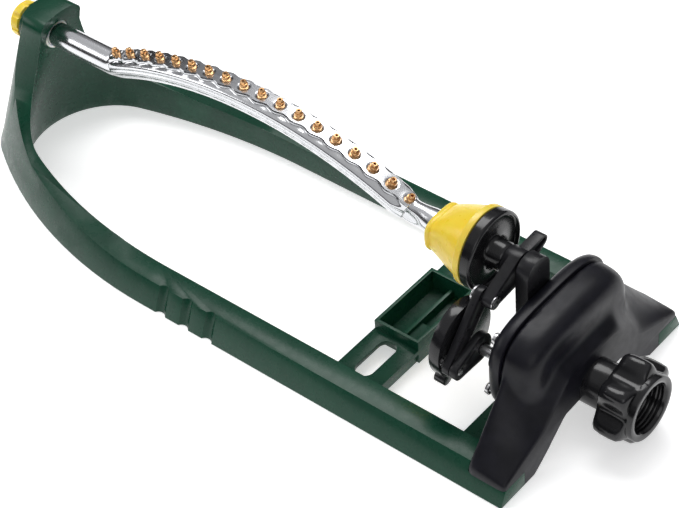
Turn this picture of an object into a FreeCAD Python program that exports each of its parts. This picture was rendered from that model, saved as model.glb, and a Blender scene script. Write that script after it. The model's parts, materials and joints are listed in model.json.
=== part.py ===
"""Oscillating garden sprinkler, built as separate closed solids.

Frame: millimetres, +Z up, the ground at z = 0. +X runs along the machine from the round nose to the
hose nut, and y = 0 is its plane of symmetry. The origin is under the middle of the overall box.
Drive: water spins a turbine, a sealed gearbox turns a crank, and a connecting rod rocks the lever
that carries the spray tube.
"""
import FreeCAD, Part
import math
import os

Vec = FreeCAD.Vector
X_AXIS = Vec(1, 0, 0)

# The shapes are drawn about a point on the ground; the origin is moved under the middle of the whole box
MIDDLE_X = 9.4

# Base
BASE_END = 197.2          # hose end of the two arms
BEND_X = -42.0             # where the straight arms start to curve in
TIP_X = -212.0            # outermost point of the nose
RAIL_TOP = 14.5
RISE_TOP = 24.0           # height of the rail where it meets the post
RISE_X = -163.0
FOOT_HALF = 76.7          # half width of the outer wall at the ground
CREASE_HALF = 70.6        # half width of the outer wall at the top of the rail
INNER_HALF = 57.5         # half width of the opening
INNER_TIP = -187.0
NOSE_R = 38.0
INNER_NOSE_R = 44.0
INNER_LEAN = 28.4         # how far the opening's tip moves towards +X, up to the top of the post
POST_TIP_X = -179.0       # outermost point of the post at its top
WALL = 2.5
POST_TOP = 93.0
SEAT_X = 174.8            # the housing's legs stand on the arms from here
SEAT_TOP = 9.0
GRIP_PITCH = 16.6
GRIP_X = -26.9
BED_X0 = 157.0            # cross member under the gear case
BED_X1 = 174.0
BED_TOP = 8.0
BODY_X1 = 190.5           # hose end of the housing's rounded body
LEG_SCREW_X = 186.0
LEG_SCREW_Y = 64.0
HUB_X0 = -183.6           # boss in the post that holds the tube's bush
HUB_X1 = -165.0
HUB_R = 10.5
BUSH_R = 8.4

# Tool tray and its ribs
TRAY_X0 = 77.4
TRAY_X1 = 105.9
TRAY_HALF = 23.9
TRAY_FLOOR = 1.5
TRAY_WALL = 1.8
RIB_TOP = 9.0
RIB_PLATE = 2.6
RIB_WIDTH = 9.0

# Spray tube
AXIS_Z = 77.5
TUBE_R = 7.0
TUBE_WALL = 0.8
TUBE_X0 = -179.0
TUBE_X1 = 114.0
ARCH_X = -15.3            # middle of the arch
ARCH_R = 240.0
ARCH_SPAN = math.radians(24.8)   # half of the angle that the arch covers
BEND_R = 12.0             # short bends between the level ends and the arch
ARCH_RISE = (ARCH_R + BEND_R) * (1 - math.cos(ARCH_SPAN))
BAND_HALF = 8.0           # half width of the stamped section that holds the nozzles
LOW_EXTRA = 0.6           # how much deeper the stamped section is than the round ends
BAND_TOP = 6.0
NOZZLES = 18
NOZZLE_STEP = 12.3
NOZZLE_R = 2.3
NOZZLE_HOLE_R = 0.7
NOZZLE_PROUD = 3.6

# Cap, dial and outlet pipe
CAP_X0 = 104.2
CAP_X1 = 127.5
FLANGE_X1 = 131.6
FLANGE_R = 21.6
DIAL_X0 = 131.9
DIAL_X1 = 138.4
DIAL_BOSS_X1 = 146.8
PIPE_R = 5.0
PIPE_BORE = 3.4
PIPE_X0 = 118.0
FIT = 0.05                # radial clearance of a running fit

# Crank linkage, seen along X
LEVER_X0 = 149.4
LEVER_X1 = 155.2
LEVER_R = 24.0            # tube axis to lever pin
LEVER_REST = math.radians(195.0)
LEVER_TAIL = 17.0
CRANK_Y = -32.0
CRANK_Z = 46.5
CRANK_R = 17.0
CRANK_REST = math.radians(189.3)
CRANK_DISC_X0 = 137.0
CRANK_DISC_X1 = 143.0
CRANK_DISC_R = 21.0
ROD_X0 = 145.0
ROD_X1 = 148.9
ARM_X0 = 149.4
ARM_X1 = 153.4
PIN_R = 2.0
PIN_PLAY = 1.3            # clearance in the rod's eye at the lever pin
SHAFT_R = 3.0

# Gear case and housing
WASHER_ROOM_R = 12.7
GEAR_ROOM_R = 9.8          # clear radius round the output gear
CASE_X0 = 164.2
CASE_X1 = 172.2
CASE_HALF = 44.0
CASE_Z0 = 16.0
CASE_Z1 = 70.0
CASE_WALL = 2.4
BOSS_X0 = 156.8
PORT_Z = 58.0             # water leaves the gear case here
HOUSING_X1 = 197.2
GEAR_X0 = 167.2
GEAR_X1 = 171.2
MODULE = 1.0
GEAR_TEETH = 16
PINION_TEETH = 10
BOX_X0 = 172.8
BOX_X1 = 181.5
TURBINE_X0 = 183.0
TURBINE_X1 = 188.6
TURBINE_R = 8.6
JET_X0 = 189.4
JET_X1 = 192.0

# Hose end
INLET_Z = 24.4
SPIGOT_R = 12.5
NECK_R = 9.0
NUT_X0 = 209.2
NUT_X1 = 230.8
NUT_R = 18.0
NUT_LOBE_R = 24.0
NUT_LOBES = 6
NUT_BORE = 13.4
THREAD_X0 = 217.0         # the hose thread starts past the washer
NECK_X1 = 214.6
NECK_BORE = 6.6
PIPE_WALL_R = 9.6         # inner radius of the inlet pipe

# Flush plug
PLUG_X0 = -192.5
PLUG_X1 = -185.2
PLUG_R = 10.6
PLUG_SHANK_X1 = -169.0

PINION_Y = CRANK_Y + MODULE * (GEAR_TEETH + PINION_TEETH) / 2
ARCH_Z = AXIS_Z + ARCH_RISE - ARCH_R
CRANK_PIN = (CRANK_Y + CRANK_R * math.cos(CRANK_REST), CRANK_Z + CRANK_R * math.sin(CRANK_REST))
LEVER_PIN = (LEVER_R * math.cos(LEVER_REST), AXIS_Z + LEVER_R * math.sin(LEVER_REST))


def box(x0, x1, y0, y1, z0, z1):
    return Part.makeBox(x1 - x0, y1 - y0, z1 - z0, Vec(x0, y0, z0))


def rod_x(x0, x1, radius, y=0.0, z=AXIS_Z):
    return Part.makeCylinder(radius, x1 - x0, Vec(x0, y, z), X_AXIS)


def ring_x(x0, x1, outer, inner, y=0.0, z=AXIS_Z):
    return rod_x(x0, x1, outer, y, z).cut(rod_x(x0 - 1, x1 + 1, inner, y, z))


def rod_z(z0, z1, radius, x, y):
    return Part.makeCylinder(radius, z1 - z0, Vec(x, y, z0))


def cone_x(x0, x1, r0, r1, y=0.0, z=AXIS_Z):
    return Part.makeCone(r0, r1, x1 - x0, Vec(x0, y, z), X_AXIS)


def join(first, *others):
    return first.fuse(list(others)).removeSplitter()


def rounded_wire(corners, x):
    """Closed wire in the plane at x. Each corner is (y, z, radius), and radius 0 keeps it sharp."""
    points = [Vec(x, y, z) for y, z, _ in corners]
    edges = []
    entries = []
    for i, (_, _, radius) in enumerate(corners):
        here = points[i]
        back = (points[i - 1] - here).normalize()
        ahead = (points[(i + 1) % len(points)] - here).normalize()
        half = back.getAngle(ahead) / 2
        setback = radius / math.tan(half)
        start = here + back * setback
        end = here + ahead * setback
        middle = here + (back + ahead).normalize() * (radius / math.sin(half) - radius)
        entries.append((start, middle, end, radius))
    for i, (start, middle, end, radius) in enumerate(entries):
        if radius > 0:
            edges.append(Part.Arc(start, middle, end).toShape())
        edges.append(Part.LineSegment(end, entries[(i + 1) % len(entries)][0]).toShape())
    return Part.Wire(edges)


def prism_x(corners, x0, x1):
    return Part.Face(rounded_wire(corners, x0)).extrude(Vec(x1 - x0, 0, 0))


def mirrored(half):
    """A half outline on the +Y side, continued down the -Y side."""
    return half + [(-y, z, r) for y, z, r in reversed(half)]


def oval_wire(x, half_y, half_z, z, power):
    """Closed superellipse: power 2 is an ellipse, and more is closer to a rounded box."""
    points = []
    steps = 48
    for i in range(steps):
        a = 2 * math.pi * i / steps
        c = math.cos(a)
        s = math.sin(a)
        y = math.copysign(abs(c) ** (2 / power), c) * half_y
        points.append(Vec(x, y, z + math.copysign(abs(s) ** (2 / power), s) * half_z))
    curve = Part.BSplineCurve()
    curve.interpolate(points, PeriodicFlag=True)
    return Part.Wire([curve.toShape()])


def bar_x(x0, x1, a, b, radius_a, radius_b):
    """Flat link with round ends about the points a and b, each (y, z)."""
    start = Vec(x0, *a)
    along = Vec(x0, *b) - start
    length = along.Length
    along.normalize()
    side = X_AXIS.cross(along)
    lean = (radius_a - radius_b) / length
    out = along * lean + side * math.sqrt(1 - lean * lean)
    out_low = along * lean - side * math.sqrt(1 - lean * lean)
    end = Vec(x0, *b)
    corners = [start + out * radius_a, end + out * radius_b, end + out_low * radius_b,
               start + out_low * radius_a]
    body = Part.Face(Part.makePolygon(corners + corners[:1])).extrude(Vec(x1 - x0, 0, 0))
    return join(body, rod_x(x0, x1, radius_a, *a), rod_x(x0, x1, radius_b, *b))


def teardrop_wire(half, tip_x, nose_r, z, end_x):
    """Plan outline: straight sides from end_x, side arcs from BEND_X, and a round nose."""
    reach = BEND_X - tip_x - nose_r
    side_r = (reach ** 2 / (half - nose_r) + half + nose_r) / 2
    centre = Vec(BEND_X, half - side_r, z)
    nose = Vec(tip_x + nose_r, 0, z)
    towards = (nose - centre).normalize()
    tangent = centre + towards * side_r
    middle = centre + (towards + Vec(0, 1, 0)).normalize() * side_r
    far = [Vec(end_x, half, z), Vec(BEND_X, half, z), middle, tangent]
    near = [Vec(p.x, -p.y, z) for p in far]
    edges = [Part.LineSegment(far[0], far[1]).toShape(),
             Part.Arc(far[1], far[2], far[3]).toShape(),
             Part.Arc(far[3], Vec(tip_x, 0, z), near[3]).toShape(),
             Part.Arc(near[3], near[2], near[1]).toShape(),
             Part.LineSegment(near[1], near[0]).toShape(),
             Part.LineSegment(near[0], far[0]).toShape()]
    return Part.Wire(edges)


def rail_ring(inset):
    """The U-shaped rail, or with an inset the hollow inside it. Its top rises towards the nose."""
    end_x = SEAT_X - WALL if inset else BASE_END
    low = -1.0 if inset else 0.0
    lean = (FOOT_HALF - CREASE_HALF) * RISE_TOP / RAIL_TOP
    outer = Part.makeLoft([teardrop_wire(FOOT_HALF - inset, TIP_X + inset, NOSE_R, low, end_x),
                           teardrop_wire(FOOT_HALF - lean - inset, TIP_X + lean + inset, NOSE_R - 4,
                                         RISE_TOP, end_x)], True, True)
    top = RAIL_TOP - inset
    rise = RISE_TOP - inset
    rise_curve = Part.BSplineCurve()
    rise_curve.interpolate([Vec(BEND_X, -90, top), Vec((BEND_X + RISE_X) / 2, -90, top + (rise - top) * 0.3),
                            Vec(RISE_X, -90, rise - 0.5)])
    corners = [Vec(RISE_X, -90, rise - 0.5), Vec(-240, -90, rise - 0.5), Vec(-240, -90, -2),
               Vec(260, -90, -2), Vec(260, -90, top), Vec(BEND_X, -90, top)]
    edges = [rise_curve.toShape()]
    edges += [Part.LineSegment(a, b).toShape() for a, b in zip(corners, corners[1:])]
    ceiling = Part.Face(Part.Wire(edges)).extrude(Vec(0, 180, 0))
    return outer.common(ceiling).cut(opening(inset))


def opening(inset):
    """The space between the arms, whose tip leans towards +X with the post."""
    half = INNER_HALF + inset
    return Part.makeLoft([teardrop_wire(half, INNER_TIP - inset, INNER_NOSE_R, -2, 260),
                          teardrop_wire(half, INNER_TIP - inset + INNER_LEAN, INNER_NOSE_R, 100, 260)],
                         True, True)


def nose_body(inset):
    """The post that rises from the nose, flaring down into both arms."""
    shell = Part.makeLoft([teardrop_wire(75.0 - inset, TIP_X + 0.6 + inset, NOSE_R, -inset, 0),
                           teardrop_wire(44.0 - inset, POST_TIP_X + inset, 20.0, POST_TOP, 0)], True, True)
    flare = [(72, RAIL_TOP - 1.5), (58.5, RAIL_TOP + 0.3), (48, 21), (37, 31), (26.5, 47), (19.5, 65), (15.5, 80)]
    side = [Vec(-240, max(y - inset, 1), z - inset) for y, z in flare]
    curve = Part.BSplineCurve()
    curve.interpolate(side)
    top = POST_TOP - inset
    reach = 15.5 - inset
    shoulder = 6.0
    turn = shoulder * (1 - math.sqrt(0.5))
    start = Vec(-240, reach, top - shoulder)
    crown = Vec(-240, reach - shoulder, top)
    edges = [Part.LineSegment(Vec(-240, 0, -5), Vec(-240, 72 - inset, -5)).toShape(),
             Part.LineSegment(Vec(-240, 72 - inset, -5), side[0]).toShape(),
             curve.toShape(),
             Part.LineSegment(side[-1], start).toShape(),
             Part.Arc(start, Vec(-240, reach - turn, top - turn), crown).toShape(),
             Part.LineSegment(crown, Vec(-240, 0, top)).toShape(),
             Part.LineSegment(Vec(-240, 0, top), Vec(-240, 0, -5)).toShape()]
    half = Part.Face(Part.Wire(edges)).extrude(Vec(170, 0, 0))
    bell = half.fuse(half.mirror(Vec(0, 0, 0), Vec(0, 1, 0))).removeSplitter()
    return shell.common(bell).cut(opening(inset))


def grip_scoops():
    """Three finger scoops in the outer wall of each arm."""
    slope = math.degrees(math.atan2(FOOT_HALF - CREASE_HALF, RAIL_TOP))
    cuts = []
    for i in range(3):
        for side in (1, -1):
            scoop = Part.makeCylinder(4.2, 40, Vec(0, 0, -12))
            scoop.rotate(Vec(0, 0, 0), X_AXIS, side * slope)
            scoop.translate(Vec(GRIP_X + GRIP_PITCH * i, side * (FOOT_HALF + 2.6), 0))
            cuts.append(scoop)
    return cuts


def tray():
    """Open tray between the arms, with a stepped divider."""
    outer = box(TRAY_X0, TRAY_X1, -TRAY_HALF, TRAY_HALF, 0, RAIL_TOP)
    hollow = box(TRAY_X0 + TRAY_WALL, TRAY_X1 - TRAY_WALL, -TRAY_HALF + TRAY_WALL,
                 TRAY_HALF - TRAY_WALL, TRAY_FLOOR, RAIL_TOP + 1)
    middle = (TRAY_X0 + TRAY_X1) / 2
    divider = box(middle - 0.9, middle + 0.9, -TRAY_HALF + 1, TRAY_HALF - 1, 1, 7.5)
    shelf = box(middle, TRAY_X1 - 1, -TRAY_HALF + 1, -4, 1, 5.0)
    return join(outer.cut(hollow), divider, shelf)


def rib_pair(side):
    """Two T-shaped ribs with a round-ended slot between them, from the tray to one arm."""
    y0 = TRAY_HALF - 1
    y1 = INNER_HALF + 1.5
    plate = box(TRAY_X0, TRAY_X1, y0, y1, RIB_TOP - RIB_PLATE, RIB_TOP)
    slot_x = (TRAY_X0 + TRAY_X1) / 2
    slot_r = (TRAY_X1 - TRAY_X0) / 2 - RIB_WIDTH
    ends = [rod_z(0, RAIL_TOP, slot_r, slot_x, y) for y in (TRAY_HALF + 3 + slot_r, INNER_HALF - 3 - slot_r)]
    slot = join(box(slot_x - slot_r, slot_x + slot_r, TRAY_HALF + 3 + slot_r, INNER_HALF - 3 - slot_r,
                    0, RAIL_TOP), *ends)
    webs = [box(x - 1, x + 1, y0, y1, 0, RIB_TOP - 1) for x in (TRAY_X0 + 2.5, TRAY_X1 - 2.5)]
    ribs = join(plate.cut(slot), *webs)
    return ribs if side > 0 else ribs.mirror(Vec(0, 0, 0), Vec(0, 1, 0))


def base_frame():
    rail = rail_ring(0).fuse(nose_body(0))
    rail = rail.cut(rail_ring(WALL)).cut(nose_body(WALL))
    rail = rail.cut(grip_scoops())
    rail = rail.cut(box(SEAT_X, BASE_END + 1, -80, 80, SEAT_TOP, RAIL_TOP + 1))
    hub = rod_x(HUB_X0, HUB_X1, HUB_R)
    bed = box(BED_X0, BED_X1, -INNER_HALF - 2, INNER_HALF + 2, 0, BED_TOP)
    bed = bed.cut(box(BED_X0 + WALL, BED_X1 - WALL, -INNER_HALF, INNER_HALF, -1, BED_TOP - WALL))
    rail = rail.cut(rod_x(HUB_X0 - 20, HUB_X0, HUB_R + 1))
    saddle = box(BED_X0 + 2, BED_X1 - 2, -14, 14, BED_TOP - 1, CASE_Z0 - 0.3)
    frame = join(rail, hub, bed, saddle, tray(), rib_pair(1), rib_pair(-1))
    for x, y in leg_screw_places():
        frame = frame.cut(rod_z(-1, 5.0, 3.3, x, y)).cut(rod_z(-1, RAIL_TOP, 1.6, x, y))
    return frame.cut(rod_x(HUB_X0 - 1, HUB_X1 + 10, BUSH_R))


def post_bush():
    return ring_x(HUB_X0 + 1, HUB_X1 + 0.6, BUSH_R, TUBE_R + FIT)


def arch_piece(face, start, end):
    """Turn a section at the top of the arch about the arch's centre, between two angles."""
    centre = Vec(ARCH_X, 0, ARCH_Z)
    across = Vec(0, 1, 0)
    face.rotate(centre, across, math.degrees(start))
    return face.revolve(centre, across, math.degrees(end - start))


def band_face(inset):
    """Section of the stamped arch: a round underside and a flat top."""
    half = BAND_HALF - inset
    low = TUBE_R + LOW_EXTRA - inset
    top = BAND_TOP - inset
    corners = mirrored([(half, top, 2.5 - inset), (half, -low * 0.25, 3.5 - inset)])
    corners = corners[:2] + [(half * 0.55, -low, 3.5 - inset), (-half * 0.55, -low, 3.5 - inset)] + corners[2:]
    face = Part.Face(rounded_wire(corners, ARCH_X))
    face.translate(Vec(0, 0, AXIS_Z + ARCH_RISE))
    return face


def tube_end(side, radius):
    """A level end of the tube and its bend up into the arch, as one swept round bar."""
    reach = (ARCH_R + BEND_R) * math.sin(ARCH_SPAN)
    turn = Vec(ARCH_X + side * reach, 0, AXIS_Z + BEND_R)
    half_way = ARCH_SPAN / 2
    start = Vec(TUBE_X0 if side < 0 else TUBE_X1, 0, AXIS_Z)
    low = Vec(turn.x, 0, AXIS_Z)
    middle = turn + Vec(-side * math.sin(half_way), 0, -math.cos(half_way)) * BEND_R
    high = turn + Vec(-side * math.sin(ARCH_SPAN), 0, -math.cos(ARCH_SPAN)) * BEND_R
    inside = high + Vec(-side * math.cos(ARCH_SPAN), 0, math.sin(ARCH_SPAN)) * 5.0
    path = Part.Wire([Part.LineSegment(start, low).toShape(), Part.Arc(low, middle, high).toShape(),
                      Part.LineSegment(high, inside).toShape()])
    section = Part.Wire([Part.Circle(start, X_AXIS * -side, radius).toShape()])
    return path.makePipeShell([section], True, False)


def tube_solid(inset):
    """Level round ends, two short bends and the stamped arch between them."""
    radius = TUBE_R - inset
    span = ARCH_SPAN - (1.0 + 1.5 * inset) / ARCH_R
    return arch_piece(band_face(inset), -span, span).fuse([tube_end(-1, radius), tube_end(1, radius)])


def nozzle_angle(i):
    return (i - (NOZZLES - 1) / 2) * NOZZLE_STEP / (ARCH_R + BAND_TOP)


def on_nozzle(shape, i):
    """Carry a shape from the top of the arch to nozzle i."""
    placed = shape.copy()
    placed.rotate(Vec(ARCH_X, 0, ARCH_Z), Vec(0, 1, 0), math.degrees(nozzle_angle(i)))
    return placed


def spray_tube():
    bore = tube_solid(TUBE_WALL)
    ends = [rod_x(TUBE_X0 - 1, TUBE_X0 + 2, TUBE_R - TUBE_WALL), rod_x(TUBE_X1 - 2, TUBE_X1 + 1, TUBE_R - TUBE_WALL)]
    tube = tube_solid(0).cut(bore.fuse(ends))
    top = AXIS_Z + ARCH_RISE + BAND_TOP
    drill = rod_z(top - 4, top + 4, NOZZLE_R - 0.6, ARCH_X, 0)
    return tube.cut([on_nozzle(drill, i) for i in range(NOZZLES)])


def spray_nozzles():
    """Brass nozzles pressed through the flat top of the tube."""
    top = AXIS_Z + ARCH_RISE + BAND_TOP
    stem = rod_z(top - 2.5, top + 0.5, NOZZLE_R - 0.6, ARCH_X, 0)
    head = rod_z(top, top + NOZZLE_PROUD - 0.9, NOZZLE_R, ARCH_X, 0)
    crown = Part.makeCone(NOZZLE_R, NOZZLE_R - 0.8, 0.9, Vec(ARCH_X, 0, top + NOZZLE_PROUD - 0.9))
    bore = rod_z(top - 3, top + NOZZLE_PROUD + 1, NOZZLE_HOLE_R, ARCH_X, 0)
    nozzle = join(stem, head, crown).cut(bore)
    return Part.Compound([on_nozzle(nozzle, i) for i in range(NOZZLES)])


def tube_cap():
    """Cap that joins the tube to the drive: a rounded mouth that widens to a round flange."""
    horn = Part.makeLoft([oval_wire(CAP_X0, 13.0, 9.5, AXIS_Z, 3.2),
                          oval_wire(CAP_X0 + 3, 13.6, 10.2, AXIS_Z, 3.0),
                          oval_wire(CAP_X1 - 4, 18.6, 17.4, AXIS_Z, 2.3),
                          oval_wire(CAP_X1, 20.0, 20.0, AXIS_Z, 2.0)], True, False)
    cap = join(horn, rod_x(CAP_X1, FLANGE_X1, FLANGE_R))
    cap = cap.cut(rod_x(CAP_X0 - 1, TUBE_X1, TUBE_R)).cut(rod_x(TUBE_X1 - 0.1, FLANGE_X1 + 1, PIPE_R + FIT))
    return cap.cut(rod_x(TUBE_X1, TUBE_X1 + 3.0, 7.2)).cut(rod_x(TUBE_X1 + 5.0, TUBE_X1 + 8.0, 7.6))


def cap_seal():
    """Ring that seals the turning cap on the outlet pipe."""
    return ring_x(TUBE_X1 + 5.0, TUBE_X1 + 8.0, 7.6, PIPE_R + 0.04)


def range_dial():
    """Black dial behind the cap, with a grip rim, a dished face and a round boss."""
    dial = rod_x(DIAL_X0, DIAL_X1, FLANGE_R)
    dial = dial.cut(ring_x(DIAL_X1 - 2.2, DIAL_X1 + 1, FLANGE_R - 2.4, 10.5))
    boss = join(rod_x(DIAL_X1 - 3, DIAL_BOSS_X1 - 2, 8.0), cone_x(DIAL_BOSS_X1 - 2, DIAL_BOSS_X1, 8.0, 6.6))
    for i in range(40):
        notch = rod_x(DIAL_X0 - 1, DIAL_X1 + 1, 0.55, FLANGE_R + 0.2, AXIS_Z)
        notch.rotate(Vec(0, 0, AXIS_Z), X_AXIS, i * 9.0)
        dial = dial.cut(notch)
    return join(dial, boss).cut(rod_x(DIAL_X0 - 1, DIAL_BOSS_X1 + 1, PIPE_R + FIT))


def drive_lever():
    """Lever with a channel along it, on a hub that runs on the outlet pipe."""
    tail = (-LEVER_TAIL * math.cos(LEVER_REST), AXIS_Z - LEVER_TAIL * math.sin(LEVER_REST))
    near = bar_x(LEVER_X0, LEVER_X1, (0, AXIS_Z), LEVER_PIN, 8.0, 3.8)
    far = bar_x(LEVER_X0, LEVER_X1, (0, AXIS_Z), tail, 6.5, 3.2)
    channel = bar_x(LEVER_X1 - 1.6, LEVER_X1 + 1, (0, AXIS_Z), tail, 1.8, 1.6)
    hub = rod_x(DIAL_BOSS_X1, LEVER_X1, 8.0)
    lever = join(near, far, hub).cut(channel)
    lever = lever.cut(rod_x(LEVER_X0 - 1, LEVER_X1 + 1, PIN_R, *LEVER_PIN))
    return lever.cut(rod_x(DIAL_BOSS_X1 - 1, LEVER_X1 + 1, PIPE_R + FIT))


def lever_pin():
    """Pin of the lever, with its head on the rod's side wide enough to cover the eye."""
    pin = rod_x(ROD_X0 - 0.4, LEVER_X1 + 0.8, PIN_R, *LEVER_PIN)
    head = join(rod_x(ROD_X0 - 1.6, ROD_X0 - 0.4, 4.6, *LEVER_PIN))
    return join(pin, head)


def lever_clip():
    """Spring washer that holds the pin in the lever."""
    return ring_x(LEVER_X1, LEVER_X1 + 0.7, 3.6, PIN_R, *LEVER_PIN)


def output_shaft():
    return rod_x(ARM_X0, BOX_X0 + 4.0, SHAFT_R, CRANK_Y, CRANK_Z)


def crank_arm():
    arm = bar_x(ARM_X0, ARM_X1, (CRANK_Y, CRANK_Z), CRANK_PIN, 8.0, 4.6)
    return arm.cut(rod_x(ARM_X0 - 1, ARM_X1 + 1, SHAFT_R, CRANK_Y, CRANK_Z)).cut(
        rod_x(ARM_X0 - 1, ARM_X1 + 1, PIN_R, *CRANK_PIN))


def crank_pin():
    return rod_x(CRANK_DISC_X0 + 1, ARM_X1, PIN_R, *CRANK_PIN)


def crank_dial():
    """Disc on the free end of the crank pin, with a raised rim, a boss and a finger tab."""
    disc = rod_x(CRANK_DISC_X0, CRANK_DISC_X1, CRANK_DISC_R, CRANK_Y, CRANK_Z)
    dish = ring_x(CRANK_DISC_X0 - 1, CRANK_DISC_X0 + 1.4, CRANK_DISC_R - 2.2, 7.0, CRANK_Y, CRANK_Z)
    tab_at = math.radians(228)
    inner = (CRANK_Y + 15 * math.cos(tab_at), CRANK_Z + 15 * math.sin(tab_at))
    outer = (CRANK_Y + 21.5 * math.cos(tab_at), CRANK_Z + 21.5 * math.sin(tab_at))
    tab = bar_x(CRANK_DISC_X0, CRANK_DISC_X1, inner, outer, 4.5, 3.5)
    return join(disc.cut(dish), tab).cut(rod_x(CRANK_DISC_X0 + 1, CRANK_DISC_X1 + 1, PIN_R, *CRANK_PIN))


def connecting_rod():
    rod = bar_x(ROD_X0, ROD_X1, CRANK_PIN, LEVER_PIN, 4.4, PIN_R + PIN_PLAY + 1.9)
    rod = rod.cut(rod_x(ROD_X0 - 1, ROD_X1 + 1, PIN_R + FIT, *CRANK_PIN))
    return rod.cut(rod_x(ROD_X0 - 1, ROD_X1 + 1, PIN_R + PIN_PLAY, *LEVER_PIN))


def gear(teeth, x0, x1, y, z, phase):
    """Spur gear with involute flanks and a little backlash."""
    pitch = MODULE * teeth / 2
    base = pitch * math.cos(math.radians(20))
    root = pitch - 1.05 * MODULE
    tip = pitch + 0.8 * MODULE
    play = 0.12 / pitch

    def involute(radius):
        lean = math.acos(min(1.0, base / radius))
        return math.tan(lean) - lean

    radii = [max(base, root) + (tip - max(base, root)) * k / 4 for k in range(5)]
    outline = []
    for i in range(teeth):
        middle = phase + 2 * math.pi * i / teeth
        half = [math.pi / (2 * teeth) - play + involute(pitch) - involute(r) for r in radii]
        flank = [(root, half[0])] + list(zip(radii, half))
        outline += [(r, middle - h) for r, h in flank]
        outline += [(r, middle + h) for r, h in reversed(flank)]
    points = [Vec(x0, y + r * math.cos(a), z + r * math.sin(a)) for r, a in outline]
    return Part.Face(Part.makePolygon(points + points[:1])).extrude(Vec(x1 - x0, 0, 0))


def output_gear():
    wheel = gear(GEAR_TEETH, GEAR_X0, GEAR_X1, CRANK_Y, CRANK_Z, 0.0)
    return wheel.cut(rod_x(GEAR_X0 - 1, GEAR_X1 + 1, SHAFT_R, CRANK_Y, CRANK_Z))


def drive_pinion():
    wheel = gear(PINION_TEETH, GEAR_X0, GEAR_X1, PINION_Y, CRANK_Z, math.pi + math.pi / PINION_TEETH)
    return join(wheel, rod_x(GEAR_X1, BOX_X0 + 4.0, 2.0, PINION_Y, CRANK_Z))


def reduction_gearbox():
    """Sealed cartridge of reduction gears between the turbine and the pinion."""
    case = prism_x([(12, 12, 4), (12, 36, 6), (-8, 54, 6), (-37, 54, 5), (-37, 26, 6), (-12, 12, 4)],
                   BOX_X0, BOX_X1)
    case = case.cut(rod_x(BOX_X0 - 1, BOX_X0 + 4, 2.0 + FIT, PINION_Y, CRANK_Z))
    case = case.cut(rod_x(BOX_X0 - 1, BOX_X0 + 4, SHAFT_R + FIT, CRANK_Y, CRANK_Z))
    return case.cut(rod_x(BOX_X1 - 6, BOX_X1 + 1, 1.5 + FIT, 0, INLET_Z))


def turbine_shaft():
    return rod_x(BOX_X1 - 6, TURBINE_X1 + 0.6, 1.5, 0, INLET_Z)


def turbine_wheel():
    """Paddle wheel with eight blades."""
    hub = rod_x(TURBINE_X0, TURBINE_X1, 3.2, 0, INLET_Z)
    blade = box(TURBINE_X0 + 0.4, TURBINE_X1 - 0.4, 2.4, TURBINE_R, INLET_Z - 0.5, INLET_Z + 0.5)
    blades = []
    for i in range(8):
        turned = blade.copy()
        turned.rotate(Vec(0, 0, INLET_Z), X_AXIS, 45 * i)
        blades.append(turned)
    return join(hub, *blades).cut(rod_x(TURBINE_X0 - 1, TURBINE_X1 + 1, 1.5, 0, INLET_Z))


def jet_ring():
    """Ring that turns the incoming water onto the blades."""
    ring = ring_x(JET_X0, JET_X1, PIPE_WALL_R, 2.2, 0, INLET_Z)
    for i in range(6):
        port = rod_x(JET_X0 - 1, JET_X1 + 1, 1.7, 6.0, INLET_Z)
        port.rotate(Vec(0, 0, INLET_Z), X_AXIS, 60 * i)
        ring = ring.cut(port)
    return ring


def inlet_spigot():
    """Inlet pipe, which holds the turbine and carries the hose nut on its neck."""
    pipe = ring_x(BOX_X1 + 1.0, NUT_X0 - 0.4, SPIGOT_R, PIPE_WALL_R, 0, INLET_Z)
    neck = ring_x(NUT_X0 - 1.4, NECK_X1, NECK_R, NECK_BORE, 0, INLET_Z)
    shoulder = ring_x(NUT_X0 - 2.4, NUT_X0 - 0.4, SPIGOT_R, NECK_BORE, 0, INLET_Z)
    lip = ring_x(NECK_X1 - 2.0, NECK_X1, 11.4, NECK_BORE, 0, INLET_Z)
    return join(pipe, shoulder, neck, lip)


def inlet_screen():
    """Fine screen that keeps grit out of the turbine."""
    disc = join(rod_x(NECK_X1, NECK_X1 + 1.0, 8.2, 0, INLET_Z), rod_x(NECK_X1, NECK_X1 + 1.5, 1.4, 0, INLET_Z))
    for row, (radius, count) in enumerate(((3.2, 8), (5.6, 14))):
        for i in range(count):
            hole = rod_x(NECK_X1 - 1, NECK_X1 + 2, 0.8, radius, INLET_Z)
            hole.rotate(Vec(0, 0, INLET_Z), X_AXIS, 360.0 * (i + row / 2) / count)
            disc = disc.cut(hole)
    return disc


def hose_washer():
    return ring_x(NECK_X1, THREAD_X0 - 0.5, 12.3, 8.3, 0, INLET_Z)


def hose_nut():
    """Hand nut: a round rim, deep grip lobes and a bore for the hose thread."""
    nut = rod_x(NUT_X0, NUT_X1, NUT_R, 0, INLET_Z)
    for i in range(NUT_LOBES):
        lobe = bar_x(NUT_X0 + 0.8, NUT_X1 - 3.5, (0, INLET_Z), (NUT_LOBE_R - 4.2, INLET_Z), 6.5, 4.2)
        lobe.rotate(Vec(0, 0, INLET_Z), X_AXIS, 360.0 / NUT_LOBES * i + 15)
        nut = nut.fuse(lobe)
    nut = nut.removeSplitter().cut(rod_x(THREAD_X0, NUT_X1 + 1, NUT_BORE, 0, INLET_Z))
    nut = nut.cut(rod_x(NUT_X0 + 3.0, THREAD_X0 + 1, WASHER_ROOM_R, 0, INLET_Z))
    return nut.cut(rod_x(NUT_X0 - 1, NUT_X1, NECK_R + FIT, 0, INLET_Z))


def case_outline(x, inset):
    middle = (CASE_Z0 + CASE_Z1) / 2
    return oval_wire(x, CASE_HALF - inset, (CASE_Z1 - CASE_Z0) / 2 - inset, middle, 3.4)


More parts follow.
